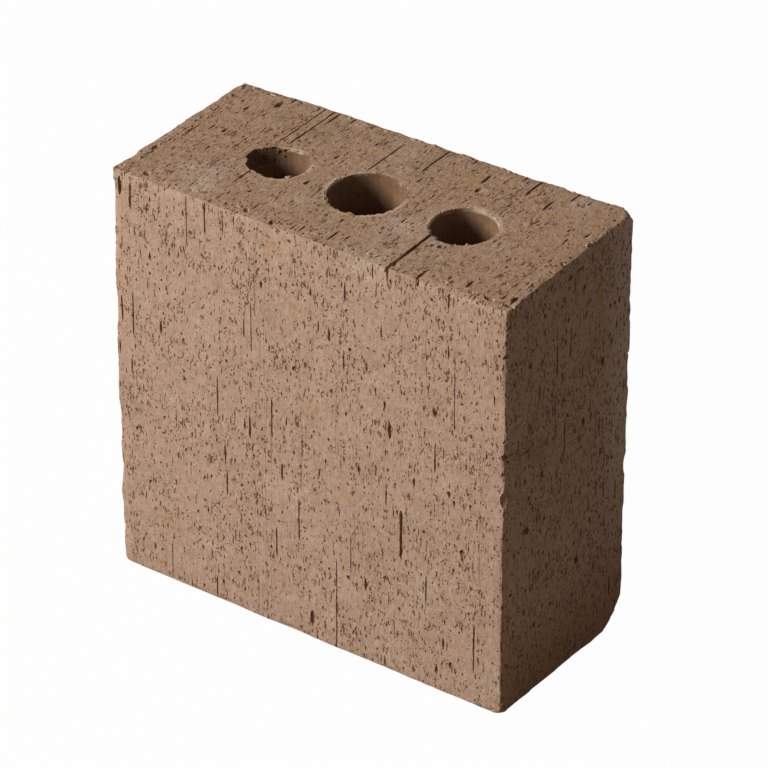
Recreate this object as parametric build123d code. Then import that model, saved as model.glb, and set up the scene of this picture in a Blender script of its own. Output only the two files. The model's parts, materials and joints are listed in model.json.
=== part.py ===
from build123d import *
from math import cos, radians, sin
import os

# Cored earth block: one piece of stiff clay earth, pushed upright through a die that holds
# three core rods, and cut to length by a wire above and below. It stands on its lower cut.
# Millimetres. X runs along the wide face, Y through the thickness (the front is -Y) and Z up.
# The origin is the middle of the outline, on the level that the block stands on.

# The section that leaves the die
width = 219.5
thickness = 100.0
edge_radius = 1.4
# The back right upright edge is worn much rounder than the other three
worn_edge_radius = 2.4

# The upper cut: the wire ran out of level, so the top is a ruled, slightly twisted face
height = 215.0
rise_front_left = -2.0
rise_front_right = -1.6
rise_back_left = 0.2
rise_back_right = 3.4
cut_edge_radius = 1.0

# Three cores of unequal bore, all a little nearer to the front face
left_core_x = -48.0
left_core_y = -3.3
left_core_radius = 13.0
middle_core_x = -0.1
middle_core_y = -3.7
middle_core_radius = 18.0
right_core_x = 52.8
right_core_y = -2.4
right_core_radius = 15.5

# The wire tore the left core's mouth on its outer side, leaving a ragged shelf
torn_reach = 5.4
torn_foot_reach = 1.6
torn_depth = 7.0
torn_middle_angle = 182.0
# The ragged rim of the tear, on each side of that angle: degrees, and the share of the reach there
torn_rim_one_side = ((-58, 0.0), (-46, 0.5), (-30, 0.6), (-12, 1.0))
torn_rim_other_side = ((10, 0.95), (18, 0.55), (34, 0.65), (52, 0.4), (62, 0.0))

# Drying crack across the top, from the right core's mouth to the front, and down that face
crack_width = 1.6
crack_depth = 3.0
crack_drop = 8.5
crack_offset = -8.2
crack_lean = 0.6

# Corners lost to handling: how far each one is worn along its three edges
back_right_foot_reach = 15.0
back_right_top_reach = 7.0
front_right_foot_reach = 4.0
front_left_foot_reach = 3.0

# Bites out of the upright edges: height of the middle, half its length, and how deep
front_right_bite = (116.0, 5.0, 2.2)
back_right_bites = ((86.0, 8.0, 2.7), (20.0, 3.0, 1.6))
back_left_bites = ((150.0, 3.5, 1.5), (64.0, 5.0, 2.0))

# Spare length of a cutting shape past the surface that it cuts, and how near counts as touching
past = 5.0
touch = 0.01


def top_at(x, y):
    """Height of the wire's cut above a point of the plan."""
    along = x / width + 0.5
    across = y / thickness + 0.5
    front = rise_front_left + (rise_front_right - rise_front_left) * along
    back = rise_back_left + (rise_back_right - rise_back_left) * along
    return height + front + (back - front) * across


def between_the_cuts():
    """The square-edged block: flat bed and sides, and a top ruled from its front edge to its back edge."""
    corners = [(-width / 2, -thickness / 2), (width / 2, -thickness / 2)]
    corners += [(width / 2, thickness / 2), (-width / 2, thickness / 2)]
    foot = [Vector(x, y, 0) for x, y in corners]
    head = [Vector(x, y, top_at(x, y)) for x, y in corners]
    faces = [make_face(Polyline(*foot, close=True)).face()]
    for here, there in ((0, 1), (1, 2), (2, 3), (3, 0)):
        side = Polyline(foot[here], foot[there], head[there], head[here], close=True)
        faces.append(make_face(side).face())
    front_edge = Edge.make_line(head[0], head[1])
    back_edge = Edge.make_line(head[3], head[2])
    faces.append(Face.make_surface_from_curves(front_edge, back_edge))
    return Solid(Shell(faces))


def on_a_sharp_corner(edge):
    """True for an upright edge that still stands at a corner of the square-edged outline."""
    place = edge.center()
    return abs(place.X) > width / 2 - touch and abs(place.Y) > thickness / 2 - touch


def with_die_edges(block):
    """Round the upright edges as the die does, the back right one worn rounder than the rest."""
    upright = block.edges().filter_by(Axis.Z)
    back_right = upright.sort_by(lambda edge: edge.center().X + edge.center().Y)[-1]
    block = fillet(back_right, worn_edge_radius)
    outer = [edge for edge in block.edges().filter_by(Axis.Z) if on_a_sharp_corner(edge)]
    return fillet(outer, edge_radius)


def core(x, y, radius):
    """Space left by one core rod."""
    return Pos(x, y, -past) * Cylinder(
        radius, height + 4 * past, align=(Align.CENTER, Align.CENTER, Align.MIN)
    )


def torn_mouth(x, y, radius):
    """Ragged shelf that the wire tore out beside a core's mouth, narrower as it goes down."""
    slope = (torn_reach - torn_foot_reach) / torn_depth
    levels = ((past, torn_reach + slope * past), (-torn_depth, torn_foot_reach))
    outlines = []
    for level, reach in levels:
        inside_the_bore = (radius / 2, 0)
        rim = [inside_the_bore]
        for angle, share in torn_rim_one_side + torn_rim_other_side:
            far = radius + reach * share
            rim.append((far * cos(radians(angle)), far * sin(radians(angle))))
        outlines.append(Pos(0, 0, level) * make_face(Polyline(*rim, close=True)))
    tear = loft(outlines, ruled=True)
    return Pos(x, y, top_at(x - radius, y)) * Rot(0, 0, torn_middle_angle) * tear


def crack():
    """Open drying crack: a narrow kinked wedge over the top and a shorter one down the front."""
    start_y = right_core_y - right_core_radius
    front_y = -thickness / 2
    x = right_core_x + crack_offset
    half = crack_width / 2
    middle_y = (start_y + front_y) / 2
    sides = [
        (x - half, start_y + past),
        (x - half + crack_lean, middle_y),
        (x - half, front_y - past),
        (x + half, front_y - past),
        (x + half * 0.6 + crack_lean, middle_y),
        (x + half * 0.5, start_y + past),
    ]
    over = extrude(make_face(Polyline(*sides, close=True)), amount=past + crack_depth)
    over = Pos(0, 0, top_at(x, middle_y) - crack_depth) * over
    wedge = make_face(
        Polyline(
            (x - half, top_at(x, front_y) + past),
            (x + half, top_at(x, front_y) + past),
            (x + crack_lean, top_at(x, front_y) - crack_drop),
            close=True,
        )
    )
    down = Plane.XZ.offset(-front_y - crack_depth * 0.6) * extrude(wedge, amount=past)
    return over + down


def worn_corner(x_side, y_side, corner_z, z_side, reach):
    """What is missing at a worn corner: its cube, less a ball that meets the edges at reach."""
    side = 2.2 * reach
    ball_radius = ((side - reach) ** 2 + 2 * side**2) ** 0.5
    corner = Vector(x_side * width / 2, y_side * thickness / 2, corner_z)
    inward = Vector(-x_side, -y_side, -z_side)
    middle = corner + inward * (side / 2 - past / 2)
    cube = Pos(middle) * Box(side + past, side + past, side + past)
    return cube - Pos(corner + inward * side) * Sphere(ball_radius)


def bite(x_side, y_side, bite_z, half_length, deep):
    """Small scoop out of an upright edge, a ball that bulges into it by the bite's depth."""
    radius = (half_length**2 + deep**2) / (2 * deep)
    away = (radius - deep) / 2**0.5
    return Pos(x_side * (width / 2 + away), y_side * (thickness / 2 + away), bite_z) * Sphere(radius)


def lost_corners():
    """The four corners that handling has worn away."""
    top_z = top_at(width / 2, thickness / 2)
    return [
        worn_corner(1, 1, 0, -1, back_right_foot_reach),
        worn_corner(1, 1, top_z, 1, back_right_top_reach),
        worn_corner(1, -1, 0, -1, front_right_foot_reach),
        worn_corner(-1, -1, 0, -1, front_left_foot_reach),
    ]


def edge_bites():
    """Every bite out of an upright edge."""
    bites = [bite(1, -1, *front_right_bite)]
    bites += [bite(1, 1, *sizes) for sizes in back_right_bites]
    bites += [bite(-1, 1, *sizes) for sizes in back_left_bites]
    return bites


def earth_block():
    """The whole block, in the order in which it came to its shape."""
    block = with_die_edges(between_the_cuts())
    block -= core(left_core_x, left_core_y, left_core_radius)
    block -= core(middle_core_x, middle_core_y, middle_core_radius)
    block -= core(right_core_x, right_core_y, right_core_radius)
    cut_faces = block.faces().sort_by(Axis.Z)
    cut_edges = cut_faces[0].edges() + cut_faces[-1].edges()
    block = fillet(cut_edges, cut_edge_radius)
    block -= torn_mouth(left_core_x, left_core_y, left_core_radius)
    block -= crack()
    for loss in lost_corners() + edge_bites():
        block -= loss
    return block


os.makedirs("parts", exist_ok=True)
export_step(earth_block(), "parts/earth_block.step")
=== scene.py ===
import json
import math
import random

import bpy
import numpy as np
from mathutils import Matrix, Vector, noise
from mathutils.bvhtree import BVHTree

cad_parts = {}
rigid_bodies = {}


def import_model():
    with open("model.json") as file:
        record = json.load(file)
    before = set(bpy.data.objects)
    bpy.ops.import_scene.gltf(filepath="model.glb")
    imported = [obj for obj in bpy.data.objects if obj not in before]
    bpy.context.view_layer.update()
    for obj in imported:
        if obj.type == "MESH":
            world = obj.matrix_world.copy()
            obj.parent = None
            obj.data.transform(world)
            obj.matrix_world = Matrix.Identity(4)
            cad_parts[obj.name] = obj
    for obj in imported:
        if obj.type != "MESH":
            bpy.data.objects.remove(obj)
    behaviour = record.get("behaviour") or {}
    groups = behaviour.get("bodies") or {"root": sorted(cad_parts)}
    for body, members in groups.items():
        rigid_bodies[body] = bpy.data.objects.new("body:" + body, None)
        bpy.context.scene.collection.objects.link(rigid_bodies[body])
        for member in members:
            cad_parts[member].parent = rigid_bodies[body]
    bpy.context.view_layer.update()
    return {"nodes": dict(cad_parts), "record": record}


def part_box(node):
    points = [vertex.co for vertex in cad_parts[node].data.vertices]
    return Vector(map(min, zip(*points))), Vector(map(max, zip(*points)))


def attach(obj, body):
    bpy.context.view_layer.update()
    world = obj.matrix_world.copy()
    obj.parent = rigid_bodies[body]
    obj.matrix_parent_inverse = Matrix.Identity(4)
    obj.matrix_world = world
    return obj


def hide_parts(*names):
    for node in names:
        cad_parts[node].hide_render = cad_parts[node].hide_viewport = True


# Looks of the cored earth block: its dragged and pitted faces, torn core mouths, worn arrises,
# drying crack and raw clay colours. Metres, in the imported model's frame.

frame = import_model()
MM = 0.001

# The block as it was packed: its box, and its cores as (x, y, radius)
LOW, HIGH = (Vector(corner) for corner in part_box("earth_block"))
MIDDLE = (LOW + HIGH) / 2
SPAN = HIGH - LOW
BORES = [mount for mount in frame["record"]["mounts"] if mount["kind"] == "bore"]
CORES = [(*mount["pos_m"][:2], mount["dims"]["r_mm"] * MM) for mount in BORES]
LEFT_CORE = min(CORES)

# About the level of the cores' rims, and how much the cut rises for each metre towards the back
RIM_LEVEL = 0.2142
CUT_SLOPE = 0.036

# The photograph's view: where the camera stands round the block, and its long lens
CAMERA_AZIMUTH = math.radians(35.894)
CAMERA_ELEVATION = math.radians(31.516)
CAMERA_ROLL = math.radians(0.193)
CAMERA_DISTANCE = 2.32868
AIM_ASIDE = 0.00642
AIM_ABOVE = 0.09606
FOCAL_PIXELS = 4931.0
PHOTO_PIXELS = 768.0

# Light: one broad lamp low on the left, and a dim warm surround
KEY_AZIMUTH = math.radians(-44.2)
KEY_ELEVATION = math.radians(26.5)
KEY_DISTANCE = 2.5
KEY_SIZE = 1.0
KEY_POWER = 71.0
KEY_COLOUR = (1.0, 0.98, 0.95)
SURROUND_STRENGTH = 0.155
SURROUND_COLOUR = (1.0, 0.86, 0.72)
FLOOR_COLOUR = (0.27, 0.22, 0.17)
FLOOR_WHITE = 0.98

# Raw clay colours, and the colours of painted shade, light, highlight and reflection
BODY_CLAY = (0.466, 0.316, 0.232)
# Painted light: the ends' clay is lighter than the body's, to lift the right end that lies in shade
END_CLAY_AND_LIGHT = (0.55, 0.38, 0.28)
CUT_CLAY = (0.45, 0.288, 0.192)
# Core clay, darker than the body partly from the rod and partly as painted shade inside the cores
CORE_CLAY_AND_SHADE = (0.215, 0.120, 0.068)
PALE_CLAY = (0.54, 0.41, 0.31)
OCHRE_CLAY = (0.47, 0.285, 0.15)
OLIVE_CLAY = (0.34, 0.24, 0.15)
# Painted shade of pits, scores, comb lines and the deep cores, over clay that is darker there
RECESS_SHADE = (0.10, 0.040, 0.013)
# Painted shade on the right end, darker towards its foot
FOOT_SHADE = (0.30, 0.15, 0.07)
# Painted reflection: pale grey along the right end's back edge
BACK_EDGE_REFLECTION = (0.85, 0.68, 0.62)
# Clay inside pits and the crack: darker torn clay, darkened further as painted shade
TORN_CLAY_AND_SHADE = (0.235, 0.118, 0.052)
# Painted shade: near-black colour for the torn mouth and other deep recesses
MOUTH_SHADE = (0.12, 0.065, 0.035)
# Pale lips of the mouths: fresh clay and a painted highlight on the rims
LIP_CLAY_AND_HIGHLIGHT = (0.66, 0.50, 0.36)
BROKEN_CLAY = (0.40, 0.255, 0.165)
GRIT_CLAY = (0.45, 0.30, 0.20)

# Patches of other clay: colour, its noise's shift, scale and roughness, the noise at which the patch
# starts and is full, and its share there
CLAY_PATCHES = (
    (PALE_CLAY, (0.0, 0.0, 0.0), 26.0, 0.6, 0.53, 0.72, 0.6),
    (OCHRE_CLAY, (0.31, 0.17, 0.05), 42.0, 0.65, 0.58, 0.74, 0.7),
    (OLIVE_CLAY, (0.07, 0.41, 0.23), 30.0, 0.65, 0.56, 0.74, 0.6),
)

# Dragged faces: the axis that each looks along and the axis of its drag, then how strong its patches
# are, how much more torn it is, how mottled and how rough
DIE_FACE = (1, 2, 0.8, 0.07, 0.75, 0.75)
END_FACE = (0, 2, 0.9, 0.22, 0.9, 0.8)
CUT_FACE = (2, 1, 1.2, 0.03, 1.0, 0.9)

# Tears too small to cut, strokes, dashes and specks: cells a metre across and along the drag, then
# the chance that a cell has one, and its reach in cells
TEAR_KINDS = (
    ((560.0, 75.0, 1.0), 0.15, 0.18),
    ((640.0, 190.0, 1.0), 0.19, 0.22),
    ((1000.0, 520.0, 1.0), 0.10, 0.26),
)

# Grid of the faces, and strips along the arrises, that carry the relief
GRID = 6.5 * MM
STRIPS = (1.2 * MM, 2.8 * MM)

# Slow waves of the faces, the wear of the arrises as (depth, length), and the height of the flat foot
WAVE_DEPTH = 0.45 * MM
WAVE_LENGTH = 34.0 * MM
WEAR_REACH = 3.4 * MM
SLOW_WEAR = (1.5 * MM, 21.0 * MM)
QUICK_WEAR = (1.1 * MM, 6.5 * MM)
CRUMBLE = (0.5 * MM, 2.3 * MM)
FLAT_FOOT = 6.0 * MM

# Corners that are worn off, and how far round each one the edges are eased
WORN_CORNERS = (
    (Vector((HIGH.x, HIGH.y, LOW.z)), 21.0 * MM),
    (Vector((HIGH.x, HIGH.y, HIGH.z)), 10.0 * MM),
    (Vector((HIGH.x, LOW.y, LOW.z)), 6.0 * MM),
    (Vector((LOW.x, LOW.y, LOW.z)), 5.0 * MM),
)

# What the wire tore out beside the left core: its reach and depth, and its turn in degrees
TEAR_REACH = 8.0 * MM
TEAR_TURN = (110.0, 252.0)

# How far cutting shapes stand out of the face, and the cells that keep the ground a pit takes
LID = 0.25 * MM
CELL = 0.25 * MM

# Outlines of the pits, in a unit box, across and along the drag
CRUMB = ((0.0, 0.5), (-0.36, 0.4), (-0.5, 0.0), (-0.22, -0.4), (0.16, -0.5), (0.5, -0.22), (0.36, 0.28))
NUB = ((0.1, 0.5), (-0.46, 0.2), (-0.3, -0.42), (0.3, -0.5), (0.5, 0.14))
SLIVER = ((0.1, 0.5), (-0.26, 0.08), (-0.5, -0.36), (0.0, -0.5), (0.5, -0.3), (0.24, 0.1))
SLIT = ((0.2, 0.5), (-0.3, 0.22), (-0.5, -0.4), (0.1, -0.5), (0.5, -0.12), (0.24, 0.14))
STEP = ((-0.5, 0.3), (-0.44, -0.36), (-0.1, -0.12), (0.1, -0.5), (0.5, 0.04), (0.2, 0.34), (-0.14, 0.5))
HOOK = ((-0.1, 0.5), (-0.5, 0.2), (-0.34, -0.1), (0.1, -0.5), (0.5, -0.36), (0.16, -0.02), (0.0, 0.2))

# Marks that stand out on the front, in mm: from the left edge, from the top to the mark's head
# and to its foot, and its width
FRONT_MARKS = (
    (4.3, 3, 13, 2.2), (10.4, 5, 18.5, 1.4), (42.8, 0, 27, 0.6), (53.3, 0, 18, 1.0),
    (54.6, 12, 27, 0.7), (63.4, 0, 14, 0.6), (69.8, 0, 8, 0.5), (100.8, 4, 5.5, 2.0),
    (112.6, 23.5, 29, 1.4), (84.9, 31.5, 36, 1.6), (122.8, 42, 49, 1.3), (116.8, 40, 47, 0.8),
    (78.9, 43.5, 70.5, 0.6), (74.8, 54, 64, 1.0), (10.5, 62.5, 85, 0.8), (3.9, 66, 80, 1.1),
    (26.8, 72, 79, 1.4), (153.6, 69, 74.5, 1.3), (148.6, 64, 68, 1.0), (156.2, 79, 88, 1.9),
    (181.4, 80, 97, 0.9), (191.6, 33, 71, 0.5), (181.2, 62.5, 67.5, 2.6), (59.0, 90, 112, 0.9),
    (90.2, 90, 112, 0.8), (77.6, 104, 117, 1.3), (74.6, 107, 113.5, 1.0), (170.0, 104, 110, 1.4),
    (154.5, 115, 124, 1.1), (163.0, 123.5, 149.5, 1.6), (95.8, 123.5, 133, 1.3), (63.0, 125, 135.5, 1.1),
    (63.8, 139, 153, 0.9), (105.3, 139, 162, 0.9), (177.0, 153, 168.5, 0.9), (203.7, 169, 196, 0.9),
    (126.7, 164, 216, 0.7), (134.8, 148, 168, 0.6), (92.4, 159.5, 175.5, 0.9), (143.2, 168, 175, 1.4),
    (112.7, 197.5, 206.5, 1.9), (57.0, 200, 213, 0.9), (183.4, 199, 204, 1.8), (191.0, 195, 198.5, 1.7),
    (186.8, 183, 190, 1.1), (30.6, 191, 213, 0.6), (154.3, 206, 216, 0.8), (133.6, 170.5, 172.5, 1.9),
    (21.2, 36.5, 41.5, 1.6), (134.6, 48, 50, 1.6), (103.2, 69, 71.5, 1.9), (189.3, 103.5, 107.5, 1.8),
    (192.2, 107.5, 110, 1.5), (196.8, 131.5, 134.5, 2.2), (130.9, 52, 61, 0.8), (131.6, 15, 25.5, 1.0),
    (146.8, 1, 9, 0.8), (141.8, 5, 10.5, 0.7), (151.6, 30, 38, 1.0), (187.8, 0, 10, 1.0),
    (190.4, 1, 8, 0.7), (171.2, 0, 4, 1.4), (9.0, 98, 106, 1.0), (188.0, 28, 35, 1.0),
    (213.0, 45, 51, 1.0),
)

# The same on the right face, from its front edge
RIGHT_MARKS = (
    (48.5, 7, 9.5, 3.2), (56, 7, 8.3, 4.5), (61, 6.8, 8, 3.0), (52.5, 10, 18.5, 0.7), (29.2, 16, 18.8, 1.8),
    (60, 17.5, 20.5, 2.0), (47.8, 28.2, 30.6, 1.8), (50.2, 34, 50, 0.9), (50.2, 50.6, 54, 1.7),
    (39.6, 37, 55, 1.0), (18.5, 35.5, 38.5, 2.6), (46, 38.5, 41.5, 1.4), (26.4, 51, 58.5, 1.5),
    (36, 60.5, 63, 1.5), (60.4, 58.5, 67, 0.8), (76.4, 63.5, 68, 2.6), (87, 48.5, 54, 1.6),
    (85, 38.5, 41, 1.5), (88.8, 38.5, 42, 1.6), (81.4, 38.5, 41.5, 1.5), (45.6, 69, 71, 1.3),
    (48.8, 78, 80, 1.4), (46.8, 81, 101, 1.0), (55, 87, 92, 1.6), (62, 88, 92.5, 2.4), (68.2, 88, 91, 1.4),
    (75, 94, 103, 0.8), (16, 93, 97, 1.6), (8.5, 92, 95, 1.4), (29.2, 97.5, 101, 2.0),
    (19.2, 105.5, 108, 1.6), (89.5, 92, 94.5, 1.2), (17.8, 80, 81.5, 4.0), (18, 121, 125.5, 3.2),
    (8.5, 130, 133, 1.4),
    (76.8, 112.5, 115.5, 1.7), (86.4, 121.5, 123.5, 1.6), (67.8, 125.5, 128, 1.6), (22.8, 112.5, 115, 1.4),
    (34.2, 133, 134.5, 1.5), (73.8, 127, 138, 0.8), (90, 136.5, 148, 1.0), (69.6, 145.5, 148, 2.0),
    (57, 151, 153.5, 1.4), (81.4, 152.5, 157.5, 1.8), (32, 142, 144, 1.5), (6.4, 150, 151.8, 2.0),
    (59.2, 160.5, 165, 3.0), (47.8, 161.5, 164, 1.4), (25.6, 177, 180, 2.0), (38.2, 173.5, 175.5, 1.6),
    (73.5, 173, 178, 1.5), (77, 170.5, 172.5, 1.4), (4.2, 187, 189.5, 1.8), (15.6, 188.5, 190.5, 1.4),
    (54.2, 200, 202, 1.5), (39.6, 203, 207, 1.5), (32.5, 205, 206.5, 1.6), (60, 210, 213, 1.8),
    (73.5, 190.5, 192, 1.6), (87.4, 188, 199, 1.1), (92.8, 204.5, 208, 1.4), (84.2, 201, 203.5, 1.2),
    (37, 146, 150.5, 1.3), (80, 132, 138, 1.5),
)

# Grooves on the cut face, in mm from its middle: along the way of the wire, then width and depth
TOP_GROOVES = (
    (((-56.1, 51), (-55.9, 28), (-56.0, 12)), 0.9, 0.6),
    (((-61.2, 51), (-61.1, 22), (-61.4, 11)), 0.8, 0.5),
    (((-53.2, 51), (-52.9, 41), (-53.3, 36)), 1.2, 0.7),
    (((-64.3, 51), (-63.9, 44)), 1.0, 0.6),
    (((-56.0, -15), (-56.1, -29)), 0.9, 0.6),
    (((-54.6, -17), (-54.3, -27)), 0.7, 0.5),
    (((-11.8, 42), (-11.7, 33), (-12.0, 12)), 0.9, 0.5),
    (((9.2, 51), (9.1, 38), (9.4, 25)), 1.2, 0.7),
    (((60.4, 51), (60.2, 42), (60.5, 34)), 1.5, 0.9),
    (((60.6, -53), (60.3, -46), (60.6, -40)), 1.3, 0.9),
)

# Dashes that stand out on the cut face, in mm: across from the middle, from head to foot, and width
TOP_MARKS = (
    (-78.4, 51, 44, 1.2), (-82.1, 43, 36.5, 2.4), (-43.9, 50, 43, 1.3), (-81.8, 31.5, 27, 0.9),
    (-92.4, 31.5, 27, 1.8), (-71.4, 21, 14, 0.7), (-88.2, 9, 5, 1.6), (-94.9, 8, 2, 1.0), (-101, 5, -8, 0.7),
    (-53.2, 19, 17.4, 1.5), (-22.2, 37.5, 34, 1.0), (-6.1, 23, 20, 1.2), (-2.5, 47, 44, 0.9),
    (13.2, 24, 17.5, 0.9), (16.3, 25, 23, 1.0), (24.6, 50, 43, 1.0), (37.5, 41, 32, 1.5), (40, 29, 24.5, 2.1),
    (52.5, 51, 43, 0.9), (55.3, 47, 43, 0.8), (73.9, 38, 28, 1.1), (65.3, 43, 37, 0.8), (80.6, 51, 40, 1.2),
    (88.9, 48, 42, 1.0), (96, 50, 46, 1.0), (103.2, 24, 19, 1.2), (97.5, 14, 9, 1.2), (93.9, 22.5, 19, 1.0),
    (77.5, 21, 16, 0.8), (59.6, 26, 22, 1.0), (26.3, 13, 8, 1.0), (-30.4, 19, 14, 1.1), (-26.1, 15, 10, 1.0),
    (27.5, -9, -15, 1.0), (53.9, -20.5, -23.5, 2.6), (50.4, -22, -24.5, 1.6), (82.5, -37, -44, 1.8),
    (72.5, -38, -42, 1.2), (106.4, -37, -44, 1.6), (101, -37, -42, 1.2), (90.3, -46, -50, 1.0),
    (8.9, -36, -46, 1.0), (15.3, -36, -40, 1.4), (4.6, -27, -31, 1.6), (-6.1, -41, -47, 1.2),
    (-10.1, -41, -47, 0.8), (-20.4, -45, -49, 2.6), (-34.7, -37, -44, 0.8), (-44.9, -28.5, -32, 1.3),
    (-63.2, -21, -24, 0.8), (-70.4, -36, -42, 0.8), (-78.2, -45, -50, 0.9), (-84.7, -27, -30, 0.9),
    (-104.2, -40, -43, 1.2), (-84.7, -9, -13, 1.2), (-97.5, -17, -21, 0.9), (-28.2, -7, -12, 1.9),
)

# The ragged drying crack over the CAD one, in mm: over the top, and down the front from the arris
CRACK_OVER = ((44.4, -13.5), (44.5, -28.1), (45.0, -43.9), (45.0, -53.0))
CRACK_DROP = 9.0
CRACK_LEAN = 0.3
CRACK_WIDTH = 1.3
CRACK_DEPTH = 3.0

# Kinds of pit: chance and width in mm, then length and depth for each unit of width
PIT_KINDS = (
    ("nub", 0.20, (0.6, 1.2), (0.9, 1.7), (0.5, 0.75)),
    ("crumb", 0.13, (0.9, 1.7), (0.9, 1.7), (0.4, 0.6)),
    ("hook", 0.20, (0.8, 1.4), (1.3, 2.6), (0.4, 0.6)),
    ("sliver", 0.27, (0.6, 1.15), (2.4, 5.0), (0.5, 0.75)),
    ("slit", 0.14, (0.45, 0.8), (4.0, 10.0), (0.6, 0.9)),
    ("step", 0.06, (1.3, 2.6), (0.5, 0.9), (0.3, 0.45)),
)

# Lumps round the cores' mouths: their sizes and the gaps between them in mm, how far into the mouth
# they lie in mm, and how far out of the face for each unit of size
RIM_CRUMBS = ((1.0, 2.2), (1.0, 9.0), -0.2, -0.7)
RIM_CHIPS = ((0.4, 1.2), (0.5, 7.0), -0.3, 0.2)
FOOT_CHIPS = ((0.4, 1.1), (1.0, 8.0), -0.3, 0.2)

UP = Vector((0.0, 0.0, 1.0))

# Seeded draws: the same block each run
draw = random.Random(324)


def deselect():
    """Leave nothing selected, so that an operator acts on one piece only."""
    if bpy.context.mode != "OBJECT":
        bpy.ops.object.mode_set(mode="OBJECT")
    bpy.ops.object.select_all(action="DESELECT")


def choose(piece):
    """Select one piece and make it active."""
    deselect()
    piece.select_set(True)
    bpy.context.view_layer.objects.active = piece


def enter_mesh():
    """Go into the active piece's mesh, with all of it selected."""
    bpy.ops.object.mode_set(mode="EDIT")
    bpy.ops.mesh.select_all(action="SELECT")


def leave_mesh(kind="VERT"):
    """Leave the mesh with nothing selected, ready for vertices, edges or faces to be picked."""
    bpy.ops.mesh.select_mode(type=kind)
    bpy.ops.mesh.select_all(action="DESELECT")
    bpy.ops.object.mode_set(mode="OBJECT")


def new_object(name, data):
    """A new object in the scene, with this data."""
    made = bpy.data.objects.new(name, data)
    bpy.context.scene.collection.objects.link(made)
    return made


def unit(axis):
    """Unit vector along an axis."""
    return Vector([1.0 if axis == here else 0.0 for here in range(3)])


def boxed(place):
    """The nearest place in the block's box."""
    return [min(max(place[axis], LOW[axis]), HIGH[axis]) for axis in range(3)]


def toward(azimuth, elevation):
    """Unit vector from the block towards a place round it; azimuth 0 is in front of it."""
    flat = math.cos(elevation)
    return Vector((math.sin(azimuth) * flat, -math.cos(azimuth) * flat, math.sin(elevation)))


def set_camera():
    """The photograph's camera, turned round the middle of the block's foot."""
    back = toward(CAMERA_AZIMUTH, CAMERA_ELEVATION)
    right = Vector((math.cos(CAMERA_AZIMUTH), math.sin(CAMERA_AZIMUTH), 0.0))
    up = back.cross(right)
    side = math.cos(CAMERA_ROLL) * right + math.sin(CAMERA_ROLL) * up
    head = math.cos(CAMERA_ROLL) * up - math.sin(CAMERA_ROLL) * right
    camera = new_object("camera", bpy.data.cameras.new("camera"))
    camera.data.sensor_width = 36.0
    camera.data.lens = camera.data.sensor_width * FOCAL_PIXELS / PHOTO_PIXELS
    camera.data.clip_end = 50.0
    place = Matrix((side, head, back)).transposed().to_4x4()
    place.translation = AIM_ASIDE * side + AIM_ABOVE * head + CAMERA_DISTANCE * back
    camera.matrix_world = place
    bpy.context.scene.camera = camera


def set_key():
    """A round soft lamp that looks at the block's middle."""
    light = bpy.data.lights.new("key", "AREA")
    light.shape = "DISK"
    light.size = KEY_SIZE
    light.energy = KEY_POWER
    light.color = KEY_COLOUR
    holder = new_object("key", light)
    away = toward(KEY_AZIMUTH, KEY_ELEVATION)
    holder.location = MIDDLE + away * KEY_DISTANCE
    holder.rotation_euler = (-away).to_track_quat("-Z", "Y").to_euler()


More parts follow.
